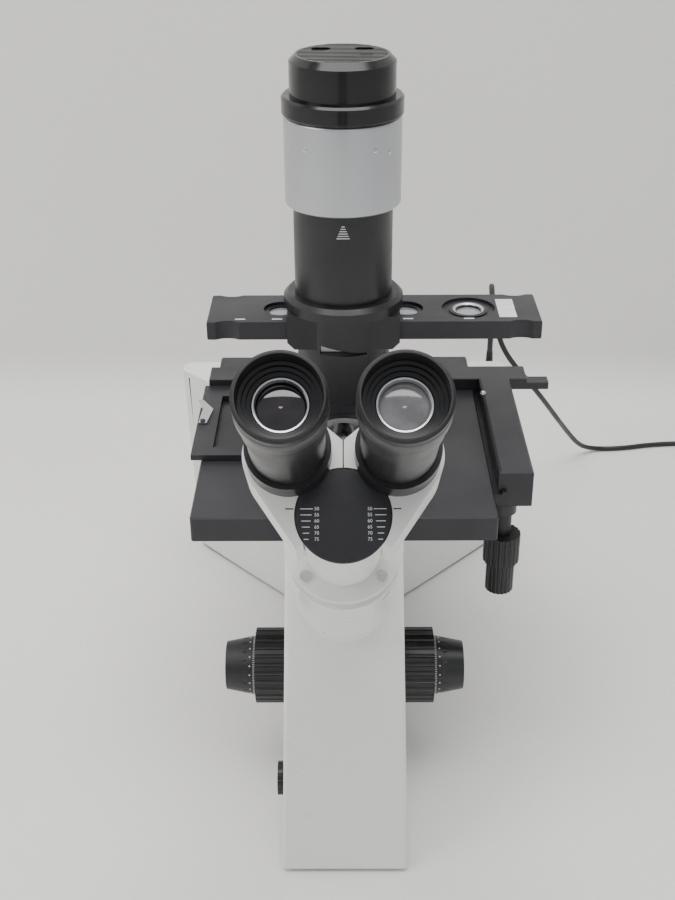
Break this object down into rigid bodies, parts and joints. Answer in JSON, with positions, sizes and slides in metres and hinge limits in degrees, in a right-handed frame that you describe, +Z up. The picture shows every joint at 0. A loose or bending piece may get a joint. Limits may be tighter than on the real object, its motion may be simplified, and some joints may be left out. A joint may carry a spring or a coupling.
{
  "type": "inverted microscope",
  "caption": "Inverted microscope: white stand, binocular head, stage with mechanical slide, nosepiece below it, and an upright lamp with a phase slider above.",
  "frame": {"origin": "on the table, straight below the optical axis through stage, objective and lamp", "axes": "+X to the user's right, +Y away from the user, +Z up"},
  "size_m": [0.6013, 0.8201, 0.494],
  "materials": {
    "white_paint": "white powder coat, satin",
    "black_paint": "black anodised, satin",
    "black_plastic": "fine grain, matt",
    "satin_silver": "satin anodised",
    "bright_steel": "bright",
    "objective_chrome": "satin chrome",
    "rubber": "matt",
    "glass": "coated",
    "mirror": "front silvered",
    "board": "white board"
  },
  "bodies": {
    "base": {"stand_body": "white_paint", "base_plate": "black_paint", "feet": "rubber", "stage_plate": "black_paint", "stage_insert": "black_paint", "stage_screws": "bright_steel", "tube_neck": "white_paint", "tube_lens": "glass", "fold_mirror": "mirror", "head_body": "white_paint", "scale_disc": "black_plastic", "head_screws": "bright_steel", "lamp_collar": "black_paint", "lamp_tube": "black_paint", "lamp_ring": "black_plastic", "lamp_cap": "black_plastic", "lamp_board": "board", "collector_lens": "glass", "condenser_head": "black_paint", "condenser_barrel": "black_paint", "condenser_lens": "glass", "lamp_arm": "black_paint", "focus_guide": "bright_steel", "stage_rail": "black_paint", "power_plug": "rubber", "cord": "rubber", "cord_coil": "rubber", "cord_connector": "black_plastic"},
    "housing_left": {"prism_housing_left": "white_paint", "eye_tube_left": "black_paint"},
    "housing_right": {"prism_housing_right": "white_paint", "eye_tube_right": "black_paint"},
    "eyepiece_left": {"eyecup_left": "black_plastic", "eye_lens_left": "glass"},
    "eyepiece_right": {"eyecup_right": "black_plastic", "eye_lens_right": "glass"},
    "sleeve": {"lamp_sleeve": "satin_silver"},
    "slider": {"phase_slider": "black_paint", "slider_rings": "black_paint"},
    "carrier": {"focus_carrier": "satin_silver", "focus_yoke": "satin_silver"},
    "nosepiece": {"turret": "black_paint", "objectives": "objective_chrome"},
    "coarse_drive": {"focus_shaft": "bright_steel", "coarse_knob_left": "black_plastic", "coarse_knob_right": "black_plastic"},
    "fine_drive": {"fine_shaft": "bright_steel", "fine_knob_left": "black_plastic", "fine_knob_right": "black_plastic"},
    "carriage": {"y_carriage": "black_paint"},
    "y_drive": {"y_knob": "black_plastic"},
    "x_drive": {"x_knob": "black_plastic"},
    "cross_slide": {"cross_arm": "black_paint", "specimen_holder": "black_paint"},
    "clamp": {"specimen_clamp": "bright_steel"},
    "dial": {"brightness_dial": "black_plastic"},
    "rocker": {"power_switch": "black_plastic"}
  },
  "joints": [
    {"name": "focus_slide", "type": "slide", "parent": "base", "child": "carrier", "axis": [0, 0, 1], "range_m": [-0.006, 0.002]},
    {"name": "coarse_turn", "type": "hinge", "parent": "base", "child": "coarse_drive", "pos_m": [0, -0.1, 0.0872], "axis": [1, 0, 0], "range_deg": [-38.5, 13]},
    {"name": "fine_turn", "type": "hinge", "parent": "coarse_drive", "child": "fine_drive", "pos_m": [0, -0.1, 0.0872], "axis": [1, 0, 0], "continuous": true},
    {"name": "nosepiece_turn", "type": "hinge", "parent": "carrier", "child": "nosepiece", "pos_m": [0, 0.02663, 0.17535], "axis": [0, 0.309, 0.9511], "continuous": true},
    {"name": "stage_y_slide", "type": "slide", "parent": "base", "child": "carriage", "axis": [0, 1, 0], "range_m": [-0.06, 0.025]},
    {"name": "y_knob_turn", "type": "hinge", "parent": "carriage", "child": "y_drive", "pos_m": [0.1096, -0.08, 0.18], "axis": [0, 0, 1], "range_deg": [-690, 290]},
    {"name": "stage_x_slide", "type": "slide", "parent": "carriage", "child": "cross_slide", "axis": [1, 0, 0], "range_m": [-0.03, 0.04]},
    {"name": "x_knob_turn", "type": "hinge", "parent": "carriage", "child": "x_drive", "pos_m": [0.1096, -0.08, 0.18], "axis": [0, 0, 1], "range_deg": [-345, 460]},
    {"name": "clamp_swing", "type": "hinge", "parent": "cross_slide", "child": "clamp", "pos_m": [-0.103, -0.002, 0.233], "axis": [0, 0, 1], "range_deg": [-5, 25], "stiffness_Nm_per_rad": 0.02},
    {"name": "eye_distance_left", "type": "hinge", "parent": "base", "child": "housing_left", "pos_m": [0, -0.31509, 0.3486], "axis": [0, -0.7071, 0.7071], "range_deg": [0, 30]},
    {"name": "eye_distance_right", "type": "hinge", "parent": "base", "child": "housing_right", "pos_m": [0, -0.31509, 0.3486], "axis": [0, -0.7071, 0.7071], "range_deg": [-30, 0]},
    {"name": "focus_eyepiece_left", "type": "hinge", "parent": "housing_left", "child": "eyepiece_left", "pos_m": [-0.02575, -0.35113, 0.42569], "axis": [0, -0.7071, 0.7071], "range_deg": [-90, 90]},
    {"name": "focus_eyepiece_right", "type": "hinge", "parent": "housing_right", "child": "eyepiece_right", "pos_m": [0.02575, -0.35113, 0.42569], "axis": [0, -0.7071, 0.7071], "range_deg": [-90, 90]},
    {"name": "sleeve_turn", "type": "hinge", "parent": "base", "child": "sleeve", "pos_m": [0, 0, 0.427], "axis": [0, 0, 1], "range_deg": [-35, 35]},
    {"name": "phase_slide", "type": "slide", "parent": "base", "child": "slider", "axis": [1, 0, 0], "range_m": [-0.087, 0.0435]},
    {"name": "brightness_turn", "type": "hinge", "parent": "base", "child": "dial", "pos_m": [-0.0425, -0.178, 0.0533], "axis": [1, 0, 0], "range_deg": [-140, 140]},
    {"name": "switch_rock", "type": "hinge", "parent": "base", "child": "rocker", "pos_m": [0.088, 0.2025, 0.156], "axis": [1, 0, 0], "range_deg": [0, 6]}
  ],
  "couplings": [
    {"joint": "coarse_turn", "follows": "focus_slide", "rad_per_m": 111.11},
    {"joint": "y_knob_turn", "follows": "stage_y_slide", "rad_per_m": 200},
    {"joint": "x_knob_turn", "follows": "stage_x_slide", "rad_per_m": 200},
    {"joint": "eye_distance_right", "follows": "eye_distance_left", "ratio": -1}
  ]
}
